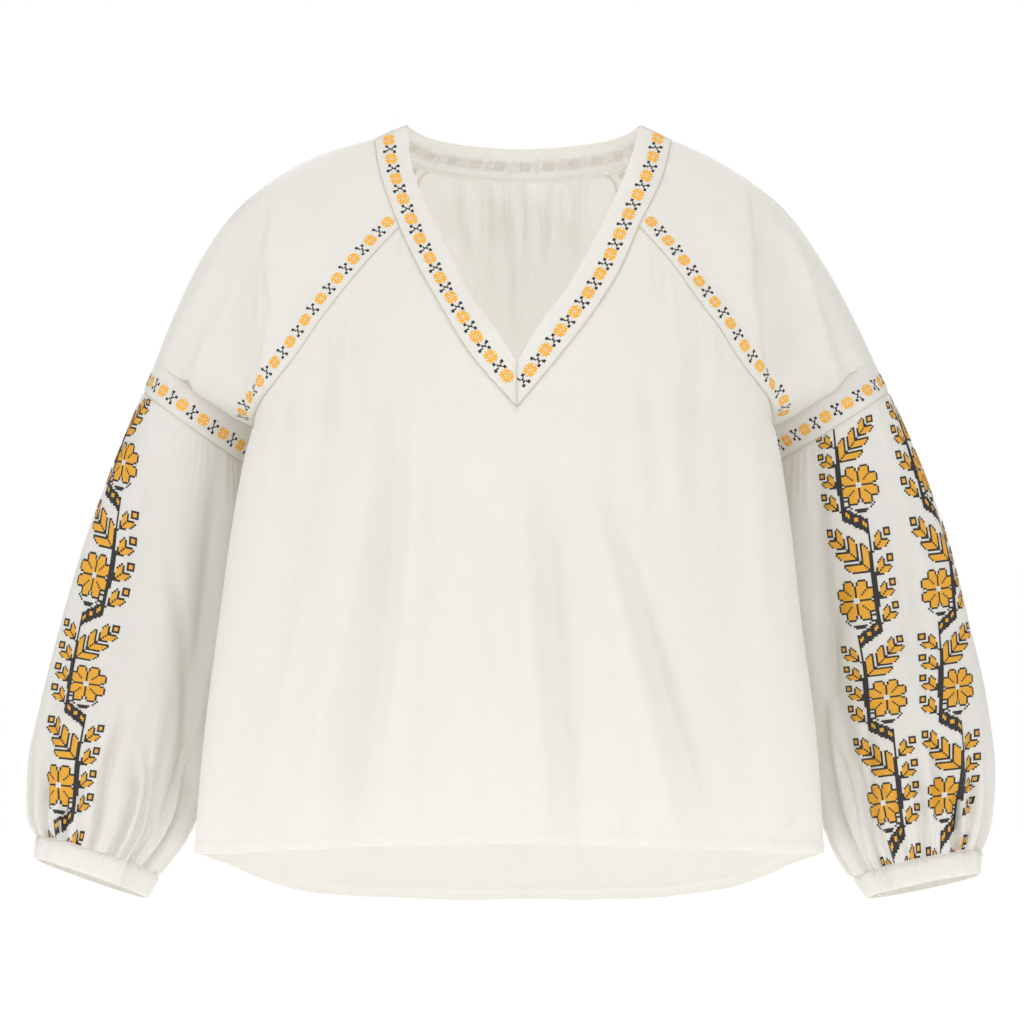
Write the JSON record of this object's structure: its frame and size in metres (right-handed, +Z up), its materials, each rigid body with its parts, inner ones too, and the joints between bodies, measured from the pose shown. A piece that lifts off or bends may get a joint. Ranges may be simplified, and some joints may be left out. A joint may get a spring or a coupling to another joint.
{
  "type": "embroidered blouse",
  "caption": "Loose V-neck folk blouse with raglan balloon sleeves gathered into cuffs, worn form and hollow, with cross-stitch vines down the sleeves.",
  "frame": {"origin": "between the wearer's shoulders, level with the sides of the neckband, where the garment is held", "axes": "+X to the right of someone who faces its front, -Y out of its front, +Z up"},
  "size_m": [0.8353, 0.274, 0.6739],
  "materials": {
    "cloth": "matt cream linen and cotton weave with slubs",
    "sewing_thread": "matt cream sewing thread",
    "yellow_thread": "embroidery thread with a soft sheen",
    "dark_thread": "embroidery thread with a soft sheen"
  },
  "bodies": {
    "root": {"front": "cloth", "back": "cloth", "neckband_back": "cloth", "neckband_front_left": "cloth", "neckband_front_right": "cloth", "upper_sleeve_left": "cloth", "upper_sleeve_right": "cloth", "lower_sleeve_left": "cloth", "lower_sleeve_right": "cloth", "cuff_left": "cloth", "cuff_right": "cloth"}
  },
  "joints": []
}
